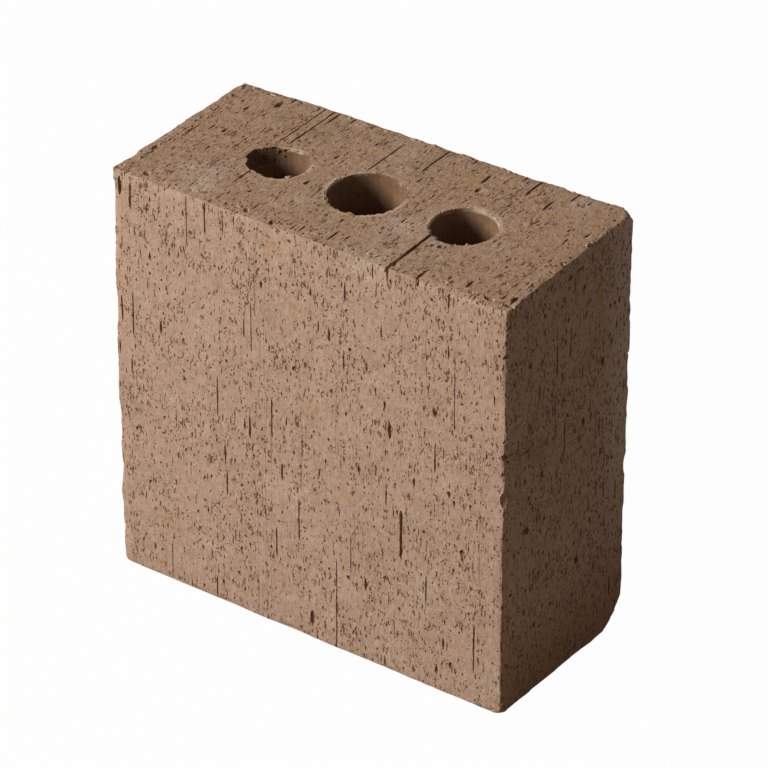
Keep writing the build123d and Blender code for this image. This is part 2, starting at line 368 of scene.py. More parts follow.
class Plan:
    """Short words for laying out the nodes of one material or shader group."""

    def __init__(self, tree):
        self.tree = tree

    def node(self, kind, sockets=None, **settings):
        """Add a node; a socket's value may be a number, a colour or another node's output."""
        made = self.tree.nodes.new(kind)
        for name, value in settings.items():
            setattr(made, name, value)
        for name, value in (sockets or {}).items():
            socket = made.inputs[name]
            if isinstance(value, bpy.types.NodeSocket):
                self.join(value, socket)
            else:
                socket.default_value = (*value, 1.0) if socket.type == "RGBA" else value
        return made

    def join(self, output, socket):
        """Lead one node's output into a socket."""
        self.tree.links.new(output, socket)

    def parts(self, vector):
        """A vector's or a colour's three parts."""
        return self.node("ShaderNodeSeparateXYZ", {"Vector": vector}).outputs

    def math(self, operation, first, second=0.0):
        """One sum, product or comparison of two values."""
        return self.node("ShaderNodeMath", {0: first, 1: second}, operation=operation).outputs[0]

    def plus(self, first, second):
        """Two values added."""
        return self.math("ADD", first, second)

    def minus(self, first, second):
        """The second value taken from the first."""
        return self.math("SUBTRACT", first, second)

    def times(self, first, second):
        """Two values multiplied."""
        return self.math("MULTIPLY", first, second)

    def step(self, value, start, end, low=0.0, high=1.0):
        """Ease from low to high while the value goes from start to end."""
        sockets = {"Value": value, "From Min": start, "From Max": end, "To Min": low, "To Max": high}
        return self.node("ShaderNodeMapRange", sockets, interpolation_type="SMOOTHSTEP").outputs["Result"]

    def stretch(self, vector, scale):
        """The same place in a space that is squeezed or drawn out."""
        sockets = {0: vector, 1: scale}
        return self.node("ShaderNodeVectorMath", sockets, operation="MULTIPLY").outputs["Vector"]

    def shift(self, vector, amount):
        """The same place, moved."""
        return self.node("ShaderNodeVectorMath", {0: vector, 1: amount}, operation="ADD").outputs["Vector"]

    def noise(self, vector, scale, detail=2.0, roughness=0.5):
        """Soft noise from 0 to 1, mostly near the middle."""
        sockets = {"Vector": vector, "Scale": scale, "Detail": detail, "Roughness": roughness}
        return self.node("ShaderNodeTexNoise", sockets).outputs["Fac"]

    def strewn(self, vector, ragged, more, chance, reach):
        """Spots strewn one to a cell; each cell keeps its own or not, and gives it its own size."""
        sockets = {"Vector": vector, "Scale": 1.0}
        cell = self.node("ShaderNodeTexVoronoi", sockets, voronoi_dimensions="2D").outputs
        own = self.parts(cell["Color"])
        kept = self.step(self.plus(own["X"], more), 1.0 - chance, 1.03 - chance)
        size = self.times(self.plus(own["Y"], 0.45), reach)
        torn = self.times(self.minus(ragged, 0.5), 0.35)
        rim = self.plus(cell["Distance"], torn)
        inside = self.step(self.minus(rim, size), 0.04, -0.04)
        return self.times(kept, inside)

    def colour(self, share, under, over, blend="MIX"):
        """Lay one colour over another by a share."""
        sockets = {0: share, 6: under, 7: over}
        return self.node("ShaderNodeMix", sockets, data_type="RGBA", blend_type=blend).outputs[2]

    def filled(self, name, sockets):
        """What one of the shared shader groups gives, with its sockets set."""
        return self.node("ShaderNodeGroup", sockets, node_tree=GROUPS[name]).outputs


def shader_group(name, inputs, outputs):
    """An empty shader group with named inputs and outputs; gives its plan and its two ends."""
    tree = bpy.data.node_groups.new(name, "ShaderNodeTree")
    for label, kind in inputs:
        tree.interface.new_socket(name=label, in_out="INPUT", socket_type="NodeSocket" + kind)
    for label, kind in outputs:
        tree.interface.new_socket(name=label, in_out="OUTPUT", socket_type="NodeSocket" + kind)
    plan = Plan(tree)
    given = plan.node("NodeGroupInput").outputs
    taken = plan.node("NodeGroupOutput").inputs
    return plan, given, taken


def torn_marks_group():
    """Tears too small to cut: strokes, dashes and specks on bare ground, thicker in some places."""
    inputs = (("Vector", "Vector"), ("Flat", "Vector"), ("Plenty", "Float"))
    plan, given, taken = shader_group("torn_marks", inputs, (("Tears", "Float"), ("Grit", "Float")))
    place = given["Vector"]
    turning = plan.node("ShaderNodeTexNoise", {"Vector": place, "Scale": 380.0, "Detail": 2.0})
    turned = plan.shift(turning.outputs["Color"], (-0.5, -0.5, -0.5))
    aside = plan.stretch(turned, (0.003, 0.003, 0.0))
    bent = plan.shift(given["Flat"], aside)
    ragged = plan.noise(place, 1500.0, 2.0, 0.6)
    wide = plan.step(plan.noise(place, 40.0, 3.0, 0.6), 0.35, 0.65, -0.16, 0.16)
    near = plan.step(plan.noise(plan.shift(place, (0.2, 0.1, 0.3)), 160.0, 2.0), 0.35, 0.65, -0.16, 0.16)
    more = plan.plus(plan.plus(wide, near), given["Plenty"])
    tears = 0.0
    for cells, chance, reach in TEAR_KINDS:
        spots = plan.strewn(plan.stretch(bent, cells), ragged, more, chance, reach)
        tears = plan.math("MAXIMUM", tears, spots)
    plan.join(tears, taken["Tears"])
    grains = plan.noise(plan.shift(place, (0.41, 0.09, 0.27)), 1000.0, 2.0, 0.6)
    plan.join(plan.step(grains, 0.64, 0.70), taken["Grit"])
    return plan.tree


def clay_tones_group():
    """Clay that is pale, ochre and olive in patches, and mottled and speckled all over."""
    inputs = (("Vector", "Vector"), ("Clay", "Color"), ("Patches", "Float"), ("Mottle", "Float"))
    plan, given, taken = shader_group("clay_tones", inputs, (("Colour", "Color"),))
    place = given["Vector"]
    tone = given["Clay"]
    for clay, moved, scale, rough, start, full, share in CLAY_PATCHES:
        cloud = plan.noise(plan.shift(place, moved), scale, 3.0, rough)
        patch = plan.times(plan.step(cloud, start, full, 0.0, share), given["Patches"])
        tone = plan.colour(patch, tone, clay)
    mottle = plan.noise(place, 310.0, 3.0, 0.65)
    spots = plan.noise(plan.shift(place, (0.5, 0.2, 0.1)), 1050.0, 2.0, 0.65)
    both = plan.plus(plan.step(mottle, 0.3, 0.7, -0.15, 0.15), plan.step(spots, 0.3, 0.7, -0.17, 0.15))
    shade = plan.plus(plan.times(both, given["Mottle"]), 1.0)
    grey = plan.node("ShaderNodeCombineXYZ", {"X": shade, "Y": shade, "Z": shade})
    tone = plan.colour(1.0, tone, grey.outputs["Vector"], "MULTIPLY")
    plan.join(tone, taken["Colour"])
    return plan.tree


def drag_lines_group():
    """Thin lines drawn out along the drag, in some places more than in others."""
    inputs = (("Vector", "Vector"), ("Drawn out", "Vector"), ("Lines", "Float"))
    outputs = (("Scores", "Float"), ("Combing", "Float"))
    plan, given, taken = shader_group("drag_lines", inputs, outputs)
    long = plan.stretch(given["Vector"], given["Drawn out"])
    fine = plan.noise(long, given["Lines"], 1.0, 0.4)
    ridge = plan.math("ABSOLUTE", plan.minus(fine, 0.5))
    thin = plan.step(ridge, 0.014, 0.004)
    where = plan.noise(plan.shift(long, (0.2, 0.1, 0.3)), plan.times(given["Lines"], 0.35), 2.0)
    plan.join(plan.times(thin, plan.step(where, 0.54, 0.66)), taken["Scores"])
    comb = plan.noise(long, plan.times(given["Lines"], 1.7), 3.0, 0.6)
    plan.join(comb, taken["Combing"])
    return plan.tree


def grain_group():
    """Height of the sandy grain, from coarse lumps to fine sand, in millimetres."""
    inputs = (("Vector", "Vector"), ("Lumps", "Float"), ("Rough", "Float"))
    plan, given, taken = shader_group("sandy_grain", inputs, (("Height", "Float"),))
    lumps = plan.noise(given["Vector"], given["Lumps"], 4.0, 0.68)
    height = plan.times(plan.times(lumps, 0.66), given["Rough"])
    plan.join(height, taken["Height"])
    return plan.tree


def new_paint(name):
    """An empty matt material: its plan, its shader and the object's own coordinates."""
    paint = bpy.data.materials.new(name)
    paint.use_nodes = True
    shader = paint.node_tree.nodes["Principled BSDF"]
    shader.inputs["Roughness"].default_value = 0.92
    shader.inputs["Specular IOR Level"].default_value = 0.2
    plan = Plan(paint.node_tree)
    place = plan.node("ShaderNodeTexCoord").outputs["Object"]
    return paint, plan, shader, place


def tones(plan, place, clay, patches, mottle):
    """The shared clay tones, over one face's own clay colour."""
    sockets = {"Vector": place, "Clay": clay, "Patches": patches, "Mottle": mottle}
    return plan.filled("clay_tones", sockets)["Colour"]


def pale_lips_and_highlight(plan, place, tone):
    """Pale lips of fresh clay round the cores' mouths, in some places only, which are partly a painted
    highlight on the rims.
    """
    parts = plan.parts(place)
    high = plan.minus(parts["Z"], plan.times(parts["Y"], CUT_SLOPE))
    near = plan.step(high, RIM_LEVEL - 1.4 * MM, RIM_LEVEL - 0.2 * MM)
    rim = None
    for x, y, radius in CORES:
        flat = plan.stretch(place, (1.0, 1.0, 0.0))
        away = plan.node("ShaderNodeVectorMath", {0: flat, 1: (x, y, 0.0)}, operation="DISTANCE")
        gap = plan.minus(away.outputs["Value"], radius + 0.5 * MM)
        gap = plan.math("ABSOLUTE", gap)
        rim = gap if rim is None else plan.math("MINIMUM", rim, gap)
    lip = plan.times(plan.step(rim, 2.6 * MM, 0.4 * MM), near)
    where = plan.step(plan.noise(plan.shift(place, (0.61, 0.12, 0.0)), 45.0, 3.0, 0.6), 0.44, 0.56)
    return plan.colour(plan.times(plan.times(lip, where), 0.75), tone, LIP_CLAY_AND_HIGHLIGHT)


def end_shade_and_reflection(plan, parts, tone):
    """The right end's tone: painted shade towards the foot and a painted pale grey reflection along the back
    edge.
    """
    right_end = plan.step(parts["X"], 0.0, 60.0 * MM)
    painted_shade = plan.step(parts["Z"], 60.0 * MM, 0.0, 0.0, 0.75)
    tone = plan.colour(plan.times(painted_shade, right_end), tone, FOOT_SHADE)
    painted_reflection = plan.step(parts["Y"], 20.0 * MM, 48.0 * MM, 0.0, 0.55)
    above_foot = plan.step(parts["Z"], 40.0 * MM, 110.0 * MM)
    painted_reflection = plan.times(plan.times(painted_reflection, above_foot), right_end)
    return plan.colour(painted_reflection, tone, BACK_EDGE_REFLECTION)


def raise_bump(plan, shader, height):
    """Let a height in millimetres bend the shading."""
    bump = plan.node("ShaderNodeBump", {"Strength": 1.0, "Distance": MM, "Height": height})
    plan.join(bump.outputs["Normal"], shader.inputs["Normal"])


def dragged_paint(name, clay, faces, drag, patches, plenty, mottle, rough):
    """Clay face that was dragged one way: torn, scored and combed along it."""
    paint, plan, shader, place = new_paint(name)
    parts = plan.parts(place)
    flat = plan.node("ShaderNodeCombineXYZ", {"X": parts[3 - faces - drag], "Y": parts[drag]})
    sockets = {"Vector": place, "Flat": flat.outputs["Vector"], "Plenty": plenty}
    marks = plan.filled("torn_marks", sockets)
    long = tuple(0.02 if axis == drag else 1.0 for axis in range(3))
    lines = plan.filled("drag_lines", {"Vector": place, "Drawn out": long, "Lines": 420.0})
    tone = tones(plan, place, clay, patches, mottle)
    if faces == 0:
        # The right end takes painted shade at its foot and a painted reflection along its back edge
        tone = end_shade_and_reflection(plan, parts, tone)
    tone = plan.colour(plan.times(marks["Grit"], 0.35), tone, PALE_CLAY)
    # Scores and the small tears are painted with the recesses' shade
    tone = plan.colour(plan.times(lines["Scores"], 0.35), tone, RECESS_SHADE)
    tone = plan.colour(plan.times(marks["Tears"], 0.86), tone, RECESS_SHADE)
    # Pale lips round the mouths, partly a painted highlight
    tone = pale_lips_and_highlight(plan, place, tone)
    plan.join(tone, shader.inputs["Base Color"])
    drawn = plan.stretch(place, tuple(0.5 if axis == drag else 1.0 for axis in range(3)))
    sockets = {"Vector": drawn, "Lumps": 480.0, "Rough": rough}
    height = plan.filled("sandy_grain", sockets)["Height"]
    height = plan.plus(height, plan.times(lines["Combing"], 0.12))
    height = plan.minus(height, plan.times(lines["Scores"], 0.15))
    raise_bump(plan, shader, height)
    return paint


def core_paint():
    """Smooth core wall, combed along the rod that made it, in clay darkened as painted shade and darker still
    deeper down.
    """
    paint, plan, shader, place = new_paint("core_wall")
    sockets = {"Vector": place, "Drawn out": (1.0, 1.0, 0.03), "Lines": 300.0}
    combing = plan.filled("drag_lines", sockets)["Combing"]
    tone = tones(plan, place, CORE_CLAY_AND_SHADE, 0.3, 0.7)
    tone = plan.colour(plan.step(combing, 0.35, 0.6, 0.2, 0.0), tone, RECESS_SHADE)
    high = plan.parts(place)["Z"]
    # Painted shade: the wall darkens towards the recesses' shade below the rim
    painted_shade = plan.step(high, RIM_LEVEL - 12.0 * MM, RIM_LEVEL - 40.0 * MM, 0.0, 0.85)
    tone = plan.colour(painted_shade, tone, RECESS_SHADE)
    # Pale lips round the mouths, partly a painted highlight
    tone = pale_lips_and_highlight(plan, place, tone)
    plan.join(tone, shader.inputs["Base Color"])
    raise_bump(plan, shader, plan.times(combing, 0.1))
    return paint


def broken_paint(name, clay, lumps, patches, rough):
    """Torn or broken clay: crumbly all over, with no drag."""
    paint, plan, shader, place = new_paint(name)
    tone = tones(plan, place, clay, patches, 1.2)
    plan.join(tone, shader.inputs["Base Color"])
    sockets = {"Vector": place, "Lumps": lumps, "Rough": rough}
    raise_bump(plan, shader, plan.filled("sandy_grain", sockets)["Height"])
    return paint


def sees_white(plan):
    """One for the rays that should meet a white room: from the camera, mirrors and glass."""
    path = plan.node("ShaderNodeLightPath").outputs
    either = plan.math("MAXIMUM", path["Is Camera Ray"], path["Is Glossy Ray"])
    return plan.math("MAXIMUM", either, path["Is Transmission Ray"])


def set_light():
    """Key lamp and dim warm surround, with a white backdrop for the camera alone."""
    set_key()
    world = bpy.data.worlds.new("surround")
    bpy.context.scene.world = world
    world.use_nodes = True
    plan = Plan(world.node_tree)
    background = world.node_tree.nodes["Background"]
    white = sees_white(plan)
    tint = plan.colour(white, SURROUND_COLOUR, (1.0, 1.0, 1.0))
    plan.join(tint, background.inputs["Color"])
    strength = plan.node("ShaderNodeMix", {"Factor": white, "A": SURROUND_STRENGTH, "B": 1.0})
    plan.join(strength.outputs["Result"], background.inputs["Strength"])


def set_floor():
    """Pale floor that keeps the block's shadow and reads as white to the camera."""
    deselect()
    bpy.ops.mesh.primitive_plane_add(size=12.0, location=(0.0, 0.0, 0.0))
    floor = bpy.context.object
    floor.name = "floor"
    paint = bpy.data.materials.new("floor")
    paint.use_nodes = True
    plan = Plan(paint.node_tree)
    plan.tree.nodes.remove(plan.tree.nodes["Principled BSDF"])
    matt = plan.node("ShaderNodeBsdfDiffuse", {"Color": FLOOR_COLOUR})
    glow = plan.node("ShaderNodeEmission")
    share = plan.times(sees_white(plan), FLOOR_WHITE)
    sockets = {"Fac": share, 1: matt.outputs["BSDF"], 2: glow.outputs["Emission"]}
    mixed = plan.node("ShaderNodeMixShader", sockets)
    plan.join(mixed.outputs["Shader"], plan.tree.nodes["Material Output"].inputs["Surface"])
    floor.data.materials.append(paint)


def in_a_core(place, spare):
    """True where a point of the plan lies inside one of the cores."""
    return any(math.hypot(place.x - x, place.y - y) < radius + spare for x, y, radius in CORES)


def in_torn_mouth(place, top):
    """True on the walls and the floor of what the wire tore out beside the left core."""
    x, y, radius = LEFT_CORE
    away = math.hypot(place.x - x, place.y - y) - radius
    turn = math.degrees(math.atan2(place.y - y, place.x - x)) % 360.0
    depth = top.height(place.x, place.y) - place.z
    off_the_wall = 0.05 * MM < away < TEAR_REACH and TEAR_TURN[0] < turn < TEAR_TURN[1]
    return off_the_wall and 0.3 * MM < depth < TEAR_REACH


def skin_tree(block):
    """What rays find on the block as it is now."""
    bpy.context.view_layer.update()
    return BVHTree.FromObject(block, bpy.context.evaluated_depsgraph_get())


class CutTop:
    """The tilted, slightly twisted cut face, through four spots well inside its edges."""

    def __init__(self, tree):
        self.half = Vector((0.4 * SPAN.x, 0.4 * SPAN.y))
        down = Vector((0.0, 0.0, -1.0))
        spot = {}
        for along in (-1, 1):
            for across in (-1, 1):
                over = MIDDLE + Vector((self.half.x * along, self.half.y * across, SPAN.z))
                spot[along, across] = tree.ray_cast(over, down)[0].z
        self.level = sum(spot.values()) / 4
        self.along = (spot[1, 1] + spot[1, -1] - spot[-1, 1] - spot[-1, -1]) / 4
        self.across = (spot[1, 1] - spot[1, -1] + spot[-1, 1] - spot[-1, -1]) / 4
        self.twist = (spot[1, 1] - spot[1, -1] - spot[-1, 1] + spot[-1, -1]) / 4

    def height(self, x, y):
        """Height of the cut over a point of the plan."""
        along = (x - MIDDLE.x) / self.half.x
        across = (y - MIDDLE.y) / self.half.y
        return self.level + self.along * along + self.across * across + self.twist * along * across

    def point(self, x, y):
        """The point of the cut over a point of the plan."""
        return Vector((x, y, self.height(x, y)))

    def gaps(self, place):
        """How far a place lies inside the block's ends, its wide faces and its two cuts, nearest first."""
        ends = min(place.x - LOW.x, HIGH.x - place.x)
        faces = min(place.y - LOW.y, HIGH.y - place.y)
        cuts = min(place.z - LOW.z, self.height(place.x, place.y) - place.z)
        return sorted((ends, faces, cuts))


def block_copy():
    """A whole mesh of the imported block, with its flat faces made one again."""
    packed = frame["nodes"]["earth_block"]
    block = new_object("dragged_block", packed.data.copy())
    choose(block)
    bpy.ops.mesh.customdata_custom_splitnormals_clear()
    enter_mesh()
    bpy.ops.mesh.remove_doubles(threshold=0.001 * MM)
    bpy.ops.mesh.dissolve_limited(angle_limit=math.radians(0.2))
    leave_mesh("FACE")
    return block


def strip_planes(top):
    """Planes that run just inside each arris, as a point and a normal."""
    planes = []
    for inset in STRIPS:
        for axis in range(3):
            planes.append((LOW + unit(axis) * inset, unit(axis)))
            if axis < 2:
                planes.append((HIGH - unit(axis) * inset, unit(axis)))
        corners = [(LOW.x, LOW.y), (HIGH.x, LOW.y), (HIGH.x, HIGH.y), (LOW.x, HIGH.y)]
        for here, there in zip(corners, corners[1:] + corners[:1]):
            start, end = top.point(*here), top.point(*there)
            level = Vector((end.y - start.y, start.x - end.x, 0.0))
            down = (end - start).cross(level).normalized()
            planes.append((start - Vector((0.0, 0.0, inset)), down))
    return planes


def score(block, top):
    """Cut the outer faces along a grid and along their arrises, so that they can carry relief."""
    choose(block)
    for face in block.data.polygons:
        face.select = in_a_core(face.center, 0.2 * MM) and abs(face.normal.z) < 0.7
    planes = strip_planes(top)
    for axis in range(3):
        steps = round(SPAN[axis] / GRID)
        for step in range(1, steps):
            planes.append((LOW + unit(axis) * (SPAN[axis] * step / steps), unit(axis)))
    bpy.ops.object.mode_set(mode="EDIT")
    bpy.ops.mesh.hide(unselected=False)
    for place, normal in planes:
        bpy.ops.mesh.select_all(action="SELECT")
        bpy.ops.mesh.bisect(plane_co=place, plane_no=normal)
    bpy.ops.mesh.reveal()
    leave_mesh("EDGE")
    split_along_arrises(block, top)


def split_along_arrises(block, top):
    """Split what runs along an arris into short lengths, and leave only triangles."""
    mesh = block.data
    near = [top.gaps(vertex.co)[1] < STRIPS[-1] + 0.1 * MM for vertex in mesh.vertices]
    for edge in mesh.edges:
        first, second = edge.vertices
        length = (mesh.vertices[first].co - mesh.vertices[second].co).length
        edge.select = near[first] and near[second] and length > 0.5 * GRID
    bpy.ops.object.mode_set(mode="EDIT")
    bpy.ops.mesh.subdivide(number_cuts=1)
    bpy.ops.mesh.select_all(action="SELECT")
    bpy.ops.mesh.quads_convert_to_tris(quad_method="BEAUTY", ngon_method="BEAUTY")
    leave_mesh()


def worn(place, reach, depth_and_length, bias):
    """Depth of one wave of wear, deepest at an arris and never less than none."""
    depth, length = depth_and_length
    return reach * depth * max(0.0, noise.noise(place / length) + bias)


def press_waves(block, top):
    """Sink the faces in slow waves and wear the arrises unevenly, and keep the foot flat."""
    mesh = block.data
    outward = [vertex.normal.copy() for vertex in mesh.vertices]
    for vertex, out in zip(mesh.vertices, outward):
        place = vertex.co.copy()
        if in_a_core(place, 0.3 * MM):
            continue
        firm = min(1.0, place.z / FLAT_FOOT)
        wave = 0.5 + 0.5 * noise.noise(place / WAVE_LENGTH)
        ripple = 0.5 + 0.5 * noise.noise(place / WAVE_LENGTH * 2.7 + Vector((7.0, 3.0, 5.0)))
        reach = max(0.0, 1.0 - top.gaps(place)[1] / WEAR_REACH)
        wear = worn(place, reach, SLOW_WEAR, 0.15) + worn(place, reach, QUICK_WEAR, 0.1)
        wear += reach * CRUMBLE[0] * noise.noise(place / CRUMBLE[1])
        sunk = WAVE_DEPTH * (0.25 + 0.5 * wave + 0.25 * ripple) * firm + wear
        moved = place - Vector((out.x, out.y, out.z * firm)) * sunk
        vertex.co = boxed(moved)


def ease_corners(block):
    """Round off the edges of what the corners lost, which are as worn as the rest."""
    choose(block)
    for vertex in block.data.vertices:
        vertex.select = any((vertex.co - corner).length < reach for corner, reach in WORN_CORNERS)
    bpy.ops.object.mode_set(mode="EDIT")
    bpy.ops.mesh.vertices_smooth(factor=0.5, repeat=5)
    leave_mesh()


class Side:
    """One face of the block: its own directions, and which of its ground is already cut."""

    def __init__(self, top, across, drag, out):
        self.top = top
        self.across = Vector(across)
        self.drag = Vector(drag)
        self.out = Vector(out)
        self.wide = abs(self.across.dot(SPAN))
        self.long = abs(self.drag.dot(SPAN))
        self.deep = abs(self.out.dot(SPAN))
        self.cut = np.zeros((int(self.wide / CELL) + 2, int(self.long / CELL) + 2), bool)

    def flat(self, along, up):
        """A place of the true face, before its relief, in metres from the face's middle."""
        place = MIDDLE + self.across * along + self.drag * up + self.out * (self.deep / 2)
        if self.out.z > 0.5:
            place.z = self.top.height(place.x, place.y)
        return place

    def land(self, tree, along, up):
        """The place and the slope of the skin there, or nothing over a core or past an arris."""
        place, slope, _, _ = tree.ray_cast(self.flat(along, up) + self.out * (3.0 * MM), -self.out, 6.0 * MM)
        if place is None or slope.dot(self.out) < 0.8:
            return None, None
        return place, slope

    def claim(self, along, up, half_wide, half_long):
        """Take the ground under a pit, unless another one has some of it."""
        start = int(max(0.0, (along - half_wide + self.wide / 2) / CELL))
        end = int(max(0.0, (along + half_wide + self.wide / 2) / CELL)) + 1
        foot = int(max(0.0, (up - half_long + self.long / 2) / CELL))
        head = int(max(0.0, (up + half_long + self.long / 2) / CELL)) + 1
        ground = self.cut[start:end, foot:head]
        if ground.any():
            return False
        ground[:] = True
        return True


def taken_shape(piece):
    """The points and faces of the selected piece, which is then dropped."""
    points = np.array([vertex.co[:] for vertex in piece.data.vertices])
    faces = [list(face.vertices) for face in piece.data.polygons]
    bpy.ops.object.delete()
    return points, faces


def pit_shape(outline, lean):
    """Cutting shape of a pit in a unit box: a lid over one deepest point, which is off its middle."""
    deselect()
    bpy.ops.mesh.primitive_circle_add(vertices=len(outline), radius=0.5, fill_type="NGON")
    shape = bpy.context.object
    for vertex, (across, along) in zip(shape.data.vertices, outline):
        vertex.co = (across, along, 1.0)
    enter_mesh()
    bpy.ops.mesh.extrude_region_move(TRANSFORM_OT_translate={"value": (0.0, 0.0, -2.0)})
    bpy.ops.mesh.merge(type="CENTER")
    leave_mesh()
    for vertex in shape.data.vertices:
        if vertex.co.z < 0.0:
            vertex.co = (*lean, -1.0)
    return taken_shape(shape)


def lump_shape(seed):
    """Uneven stone-like lump, for chips and crumbs."""
    deselect()
    bpy.ops.mesh.primitive_ico_sphere_add(subdivisions=1, radius=1.0)
    lump = bpy.context.object
    for vertex in lump.data.vertices:
        vertex.co *= 1.0 + 0.6 * noise.noise(vertex.co * 1.3 + Vector((seed * 3.1, 0.0, seed)))
    return taken_shape(lump)


class Cuttings:
    """Many closed shapes on their way to one joined mesh."""

    def __init__(self, name):
        self.name = name
        self.points = []
        self.faces = []

    def add(self, points, faces):
        """Put one more closed shape in."""
        first = len(self.points)
        self.points.extend(points)
        self.faces.extend([first + corner for corner in face] for face in faces)

    def joined(self, paint):
        """All of them as one object, with their faces outwards."""
        mesh = bpy.data.meshes.new(self.name)
        mesh.from_pydata([tuple(point) for point in self.points], [], self.faces)
        mesh.materials.append(paint)
        piece = new_object(self.name, mesh)
        choose(piece)
        enter_mesh()
        bpy.ops.mesh.normals_make_consistent(inside=False)
        leave_mesh()
        return piece


def add_pit(cuttings, side, spot, kind, width, length, depth, turn):
    """A pit's cutting shape, drawn to its size, a little out of true, and laid on the skin's slope."""
    place, slope = spot
    shape, faces = SHAPES[kind]
    points = shape.copy()
    lid = points[:, 2] > 0.0
    points[:, :2] += np.array([[draw.uniform(-0.07, 0.07), draw.uniform(-0.07, 0.07)] for _ in points])
    points[:, 0] *= 1.0 + draw.uniform(-0.35, 0.35) * points[:, 1]
    points[lid, :2] *= (depth + LID) / depth
    across = points[:, 0] * width
    along = points[:, 1] * length
    if draw.random() < 0.5:
        across = -across
    if draw.random() < 0.5:
        along = -along
    turned_across = across * math.cos(turn) - along * math.sin(turn)
    turned_along = across * math.sin(turn) + along * math.cos(turn)
    drag = (side.drag - slope * side.drag.dot(slope)).normalized()
    aside = drag.cross(slope)
    aside = aside if side.across.dot(aside) > 0 else -aside
    spread = np.outer(turned_across, aside) + np.outer(turned_along, drag)
    heights = np.where(lid, LID, -depth)
    cuttings.add(np.array(place) + spread + np.outer(heights, slope), faces)


def add_groove(cuttings, side, tree, route, width, depth, ragged):
    """A ragged wedge along a route on a face: stations of a lid's two edges and a bottom."""
    points = []
    last = len(route) - 1
    for number, (along, up) in enumerate(route):
        place = side.land(tree, along, up)[0]
        if place is None:
            place = side.flat(along, up) - side.out * (0.3 * MM)
        ends = 0.4 if number in (0, last) else draw.uniform(1.0 - ragged, 1.0 + ragged)
        half = width / 2 * ends * (depth + LID) / depth
        aside = draw.uniform(-0.5, 0.5) * ragged * width
        low = depth * (0.3 if number in (0, last) else draw.uniform(0.7, 1.1))
        points.append(np.array(place + side.across * (aside - half) + side.out * LID))
        points.append(np.array(place + side.across * (aside + half) + side.out * LID))
        points.append(np.array(place + side.across * (aside + half * 0.25) - side.out * low))
    faces = [[0, 1, 2], [3 * last + 2, 3 * last + 1, 3 * last]]
    for number in range(last):
        here, there = 3 * number, 3 * number + 3
        for first, second in ((0, 1), (1, 2), (2, 0)):
            faces.append([here + first, there + first, there + second, here + second])
    cuttings.add(points, faces)


def smooth_route(corners, step):
    """A route's corners, with points about a step apart between them."""
    route = []
    for start, end in zip(corners, corners[1:]):
        count = max(1, round(math.dist(start, end) / step))
        for number in range(count):
            route.append(tuple(a + (b - a) * number / count for a, b in zip(start, end)))
    route.append(corners[-1])
    return route


def cut_mark(cuttings, side, tree, along, top, bottom, width):
    """One mark that stands out: a long one as a groove, a short one as a pit."""
    length = top - bottom
    if not side.claim(along, (top + bottom) / 2, width * 0.8, length / 2 + 0.3 * MM):
        return
    if length > 6.5 * MM:
        route = smooth_route(((along, top), (along, bottom)), 2.4 * MM)
        add_groove(cuttings, side, tree, route, width, max(0.4 * MM, width * 0.6), 0.25)
        return
    spot = side.land(tree, along, (top + bottom) / 2)
    if spot[0] is None:
        return
    kind = "sliver" if length > 2.2 * width else "crumb"
    add_pit(cuttings, side, spot, kind, width * 1.2, length * 1.1, min(width, length) * 0.6, 0.0)


def cut_marks(cuttings, side, tree, marks):
    """The marks on an upright face that stand out."""
    for edge, head, foot, width in marks:
        along = edge * MM - side.wide / 2
        rim = side.top.height(*side.flat(along, 0.0).xy) - MIDDLE.z
        cut_mark(cuttings, side, tree, along, rim - head * MM, rim - foot * MM, width * MM)


def cut_top_marks(cuttings, side, tree):
    """The grooves and dashes that the wire dragged across the top."""
    for corners, width, depth in TOP_GROOVES:
        route = smooth_route([(x * MM, y * MM) for x, y in corners], 3.0 * MM)
        middle_x = (min(x for x, y in route) + max(x for x, y in route)) / 2
        middle_y = (route[0][1] + route[-1][1]) / 2
        half_wide = max(abs(x - middle_x) for x, y in route) + width * MM
        half_long = abs(route[0][1] - route[-1][1]) / 2 + 0.3 * MM
        if side.claim(middle_x, middle_y, half_wide, half_long):
            add_groove(cuttings, side, tree, route, width * MM, depth * MM, 0.25)
    for across, head, foot, width in TOP_MARKS:
        cut_mark(cuttings, side, tree, across * MM, head * MM, foot * MM, width * MM)


def scatter_pits(cuttings, side, tree, count, scale):
    """Strew pits over a face, thicker in some places, each on ground of its own."""
    chances = [kind[1] for kind in PIT_KINDS]
    placed = 0
    for _ in range(count * 6):
        if placed == count:
            break
        along = draw.uniform(-side.wide / 2, side.wide / 2)
        up = draw.uniform(-side.long / 2, side.long / 2)
        thick = noise.noise(side.flat(along, up) / (22.0 * MM))
        if draw.random() > 0.55 + 0.9 * thick:
            continue
        kind, _, widths, lengths, depths = draw.choices(PIT_KINDS, chances)[0]
        width = draw.uniform(*widths) * MM * scale * draw.choice((0.85, 1.0, 1.0, 1.25))
        length = width * draw.uniform(*lengths)
        depth = min(width * draw.uniform(*depths), 1.0 * MM)
        turn = draw.gauss(0.0, 0.5 if kind == "hook" else 0.13)
        wide = width * math.cos(turn) + length * abs(math.sin(turn))
        long = length * math.cos(turn) + width * abs(math.sin(turn))
        lid = (depth + LID) / depth
        spot = side.land(tree, along, up)
        if spot[0] is None or not side.claim(along, up, wide * lid * 0.5, long * lid * 0.5):
            continue
        add_pit(cuttings, side, spot, kind, width, length, depth, turn)
        placed += 1


